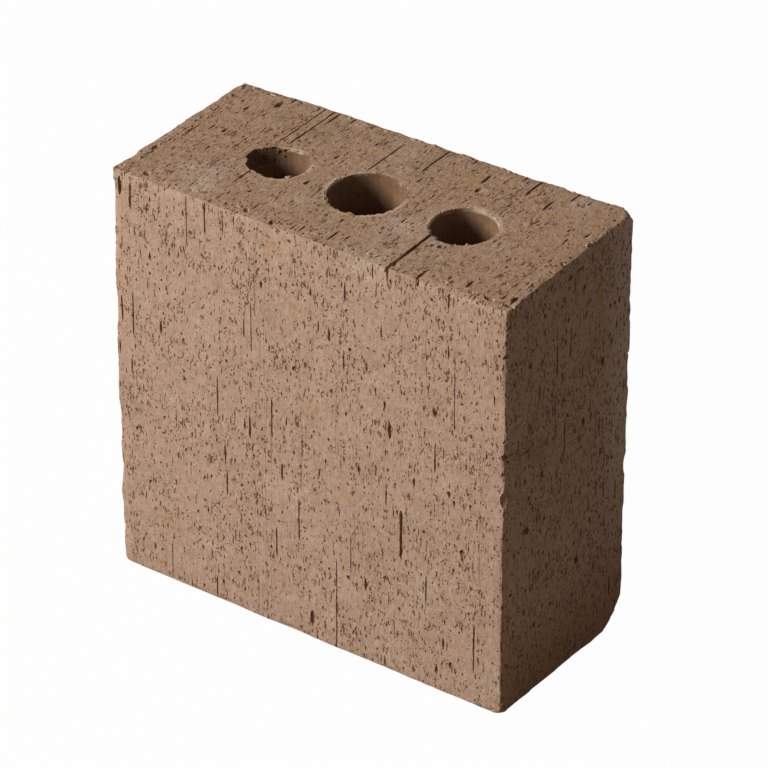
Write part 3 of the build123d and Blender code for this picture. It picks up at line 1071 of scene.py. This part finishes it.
def arrises():
    """The twelve outer edges: start, direction, length and the diagonal that points out of each."""
    edges = []
    for axis in range(3):
        others = [here for here in range(3) if here != axis]
        for first in (0, 1):
            for second in (0, 1):
                start = LOW.copy()
                out = Vector((0.0, 0.0, 0.0))
                for here, far in zip(others, (first, second)):
                    start[here] = HIGH[here] if far else LOW[here]
                    out[here] = 1.0 if far else -1.0
                edges.append((start, unit(axis), SPAN[axis], out.normalized()))
    return edges


def on_arris(tree, start, along, out, place):
    """Where the skin of an arris lies, at a distance along it."""
    return tree.ray_cast(start + along * place + out * (12.0 * MM), -out, 26.0 * MM)[0]


def add_lump(cuttings, middle, size, along, stretch):
    """One lump, turned about a direction and drawn out along it."""
    turn = Matrix.Rotation(draw.uniform(0.0, math.tau), 3, along)
    points, faces = draw.choice(LUMPS)
    turned = points @ np.array(turn).T
    drawn = turned + np.outer(turned @ np.array(along), np.array(along)) * (stretch - 1.0)
    cuttings.add(np.array(middle) + drawn * size, faces)


def chip_arrises(cuttings, tree):
    """Break small stones' worth of clay out of the arrises, one after another along each."""
    for start, along, length, out in arrises():
        place = draw.uniform(1.0, 4.0) * MM
        while place < length - 1.0 * MM:
            size = (0.5 + 1.5 * draw.random() ** 2.2) * MM
            stretch = draw.uniform(0.8, 2.0)
            hit = on_arris(tree, start, along, out, place)
            if hit is not None and hit.z > 2.5 * MM:
                add_lump(cuttings, hit + out * (size * draw.uniform(0.1, 0.5)), size, along, stretch)
            place += size * stretch * 2.5 + (1.0 + 18.0 * draw.random() ** 2) * MM


def raise_crumbs(cuttings, side, tree, count):
    """Grains that the drag left standing out of a face."""
    for _ in range(count):
        along = draw.uniform(-side.wide / 2 + 2.0 * MM, side.wide / 2 - 2.0 * MM)
        up = draw.uniform(-side.long / 2 + 6.0 * MM, side.long / 2 - 2.0 * MM)
        place, slope = side.land(tree, along, up)
        if place is None:
            continue
        size = (0.45 + 0.6 * draw.random() ** 2) * MM
        add_lump(cuttings, place - slope * (size * draw.uniform(0.3, 0.7)), size, side.drag, 1.3)


def crumble_arrises(cuttings, tree):
    """Crumbs that still cling to the arrises of the cut face."""
    for start, along, length, out in arrises():
        if out.z < 0.5:
            continue
        place = draw.uniform(2.0, 6.0) * MM
        while place < length - 3.0 * MM:
            size = (0.6 + 0.9 * draw.random() ** 2) * MM
            hit = on_arris(tree, start, along, out, place)
            if hit is not None and hit.z > 4.0 * MM:
                add_lump(cuttings, hit - out * (size * draw.uniform(0.3, 0.6)), size, along, 1.6)
            place += (3.0 + 18.0 * draw.random() ** 2) * MM


def round_mouths(cuttings, tree, out, level, sizes, pace, inward, rise, turns=None):
    """Lumps round the rims of the cores' mouths, at a level, over all or some of the way round."""
    for number, (x, y, radius) in enumerate(CORES):
        first, last = turns[number] if turns else (0.0, math.tau - 0.1)
        turn = first + draw.uniform(0.0, 0.2)
        while turn < last:
            size = draw.uniform(*sizes) * MM
            around = Vector((math.cos(turn), math.sin(turn), 0.0))
            spot = Vector((x, y, 0.0)) + around * (radius + 1.2 * MM)
            spot.z = level(spot.x, spot.y)
            hit = tree.ray_cast(spot + out * (3.0 * MM), -out, 8.0 * MM)[0]
            if hit is not None:
                middle = hit - around * ((1.2 + inward) * MM) + out * (size * rise * draw.uniform(0.6, 1.4))
                add_lump(cuttings, middle, size, around.cross(out), draw.uniform(0.9, 1.8))
            turn += (size * 2.0 + draw.uniform(*pace) * MM) / radius


def roughen_tear(cuttings, tree):
    """Break up the walls and the rim of the torn mouth, which the wire pulled out in crumbs."""
    x, y, radius = LEFT_CORE
    taken = []
    for _ in range(400):
        turn = math.radians(draw.uniform(TEAR_TURN[0] + 6.0, TEAR_TURN[1] - 6.0))
        around = Vector((math.cos(turn), math.sin(turn), 0.0))
        axis = Vector((x, y, RIM_LEVEL - draw.uniform(-0.3, 6.5) * MM))
        size = draw.uniform(1.0, 2.4) * MM
        hit = tree.ray_cast(axis, around, 30.0 * MM)[0]
        if hit is None or (hit - axis).length > radius + TEAR_REACH:
            continue
        if all((hit - other).length > size + reach for other, reach in taken):
            taken.append((hit, size))
            add_lump(cuttings, hit - around * (size * draw.uniform(0.5, 0.8)), size, UP, 1.1)


def boolean(block, cutter, operation):
    """Take the joined shapes out of the block, or join them to it."""
    choose(block)
    bpy.ops.object.modifier_add(type="BOOLEAN")
    modifier = block.modifiers[-1]
    modifier.operation = operation
    modifier.solver = "MANIFOLD"
    modifier.object = cutter
    modifier.material_mode = "TRANSFER"
    bpy.ops.object.modifier_apply(modifier=modifier.name)
    choose(cutter)
    bpy.ops.object.delete()


def give_paints(block, top, paints):
    """Paint each face by how it was made: by the die, the wire, a core rod, a tear or a knock; the tear's
    faces take painted shade.
    """
    block.data.materials.clear()
    for paint in paints:
        block.data.materials.append(paint)
    die, end, wire, rod, tear, knock = range(6)
    for face in block.data.polygons:
        centre = face.center
        # The torn mouth, and faces sunk well inside the block, are painted with shade
        if in_torn_mouth(centre, top):
            face.material_index = tear
        elif in_a_core(centre, 0.4 * MM):
            face.material_index = rod if abs(face.normal.z) < 0.7 else wire
        elif top.gaps(centre)[0] > 0.8 * MM:
            well_inside = top.gaps(centre)[1] > 12.0 * MM
            face.material_index = tear if well_inside else knock
        elif abs(face.normal.z) > 0.7:
            face.material_index = wire
        else:
            face.material_index = end if abs(face.normal.x) > 0.7 else die


def finish_mesh(block):
    """Drop crumbs that were cut loose, keep the rest in the block's box, and smooth faint bends."""
    choose(block)
    enter_mesh()
    leave_mesh()
    foot = min(block.data.vertices, key=lambda vertex: vertex.co.length)
    foot.select = True
    bpy.ops.object.mode_set(mode="EDIT")
    bpy.ops.mesh.select_linked()
    bpy.ops.mesh.select_all(action="INVERT")
    bpy.ops.mesh.delete(type="VERT")
    bpy.ops.object.mode_set(mode="OBJECT")
    for vertex in block.data.vertices:
        vertex.co = boxed(vertex.co)
    bpy.ops.object.shade_smooth_by_angle(angle=math.radians(32.0))


bpy.context.scene.view_settings.view_transform = "Standard"
set_camera()
set_light()
set_floor()

GROUPS = {
    "torn_marks": torn_marks_group(),
    "clay_tones": clay_tones_group(),
    "drag_lines": drag_lines_group(),
    "sandy_grain": grain_group(),
}

die_face = dragged_paint("die_dragged_face", BODY_CLAY, *DIE_FACE)
end_face = dragged_paint("end_face", END_CLAY_AND_LIGHT, *END_FACE)
cut_face = dragged_paint("wire_cut_face", CUT_CLAY, *CUT_FACE)
core_wall = core_paint()
# Pits and the crack: torn clay with painted shade
torn_clay_and_shade = broken_paint("torn_clay_and_shade", TORN_CLAY_AND_SHADE, lumps=900.0, patches=0.3, rough=0.8)
torn_mouth_shade = broken_paint("torn_mouth_shade", MOUTH_SHADE, lumps=500.0, patches=0.3, rough=1.6)
broken_clay = broken_paint("broken_clay", BROKEN_CLAY, lumps=700.0, patches=0.8, rough=1.0)
loose_grit = broken_paint("loose_grit", GRIT_CLAY, lumps=900.0, patches=1.0, rough=0.8)

SHAPES = {
    "crumb": pit_shape(CRUMB, (-0.14, 0.1)),
    "nub": pit_shape(NUB, (-0.12, 0.06)),
    "sliver": pit_shape(SLIVER, (-0.05, -0.2)),
    "slit": pit_shape(SLIT, (0.05, 0.0)),
    "step": pit_shape(STEP, (-0.1, 0.1)),
    "hook": pit_shape(HOOK, (-0.08, 0.0)),
}
LUMPS = [lump_shape(seed) for seed in (1, 2, 3, 4)]

block = block_copy()
cut_top = CutTop(skin_tree(block))
score(block, cut_top)
give_paints(block, cut_top, (die_face, end_face, cut_face, core_wall, torn_mouth_shade, broken_clay))
press_waves(block, cut_top)
ease_corners(block)

front = Side(cut_top, (1.0, 0.0, 0.0), (0.0, 0.0, 1.0), (0.0, -1.0, 0.0))
back = Side(cut_top, (-1.0, 0.0, 0.0), (0.0, 0.0, 1.0), (0.0, 1.0, 0.0))
right = Side(cut_top, (0.0, 1.0, 0.0), (0.0, 0.0, 1.0), (1.0, 0.0, 0.0))
left = Side(cut_top, (0.0, -1.0, 0.0), (0.0, 0.0, 1.0), (-1.0, 0.0, 0.0))
wire_cut = Side(cut_top, (1.0, 0.0, 0.0), (0.0, 1.0, 0.0), (0.0, 0.0, 1.0))
bed = Side(cut_top, (-1.0, 0.0, 0.0), (0.0, 1.0, 0.0), (0.0, 0.0, -1.0))

tree = skin_tree(block)
crumbs = Cuttings("crumbs")
crumble_arrises(crumbs, tree)
for side, count in ((front, 70), (wire_cut, 60), (right, 25), (back, 30), (left, 15)):
    raise_crumbs(crumbs, side, tree, count)
front_rims = ((math.radians(215), math.radians(330)),) * 3
round_mouths(crumbs, tree, UP, cut_top.height, *RIM_CRUMBS, front_rims)
boolean(block, crumbs.joined(loose_grit), "UNION")

tree = skin_tree(block)
chips = Cuttings("chips")
chip_arrises(chips, tree)
round_mouths(chips, tree, UP, cut_top.height, *RIM_CHIPS)
round_mouths(chips, tree, -UP, lambda x, y: LOW.z, *FOOT_CHIPS)
boolean(block, chips.joined(broken_clay), "DIFFERENCE")

tree = skin_tree(block)
# The tear's crumb hollows take the torn mouth's painted shade
tear = Cuttings("tear")
roughen_tear(tear, tree)
boolean(block, tear.joined(torn_mouth_shade), "DIFFERENCE")

tree = skin_tree(block)
over = Cuttings("crack_over")
over_route = smooth_route([(x * MM, y * MM) for x, y in CRACK_OVER], 2.6 * MM)
add_groove(over, wire_cut, tree, over_route, CRACK_WIDTH * MM, CRACK_DEPTH * MM, 0.2)
boolean(block, over.joined(torn_clay_and_shade), "DIFFERENCE")
down = Cuttings("crack_down")
crack_x = CRACK_OVER[-1][0] * MM
arris = cut_top.height(crack_x, LOW.y) - MIDDLE.z
crack_foot = (crack_x + CRACK_LEAN * MM, arris - CRACK_DROP * MM)
down_route = smooth_route([(crack_x, arris + 2.0 * MM), crack_foot], 2.2 * MM)
add_groove(down, front, tree, down_route, CRACK_WIDTH * MM, CRACK_DEPTH * 0.6 * MM, 0.2)
boolean(block, down.joined(torn_clay_and_shade), "DIFFERENCE")

tree = skin_tree(block)
pits = Cuttings("pits")
cut_marks(pits, front, tree, FRONT_MARKS)
cut_marks(pits, right, tree, RIGHT_MARKS)
cut_top_marks(pits, wire_cut, tree)
seen = ((front, 1250, 0.86), (wire_cut, 550, 0.75), (right, 550, 0.9))
unseen = ((back, 420, 1.0), (left, 180, 0.9), (bed, 120, 0.9))
for side, count, scale in seen + unseen:
    scatter_pits(pits, side, tree, count, scale)
boolean(block, pits.joined(torn_clay_and_shade), "DIFFERENCE")
finish_mesh(block)

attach(block, "root")
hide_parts("earth_block")
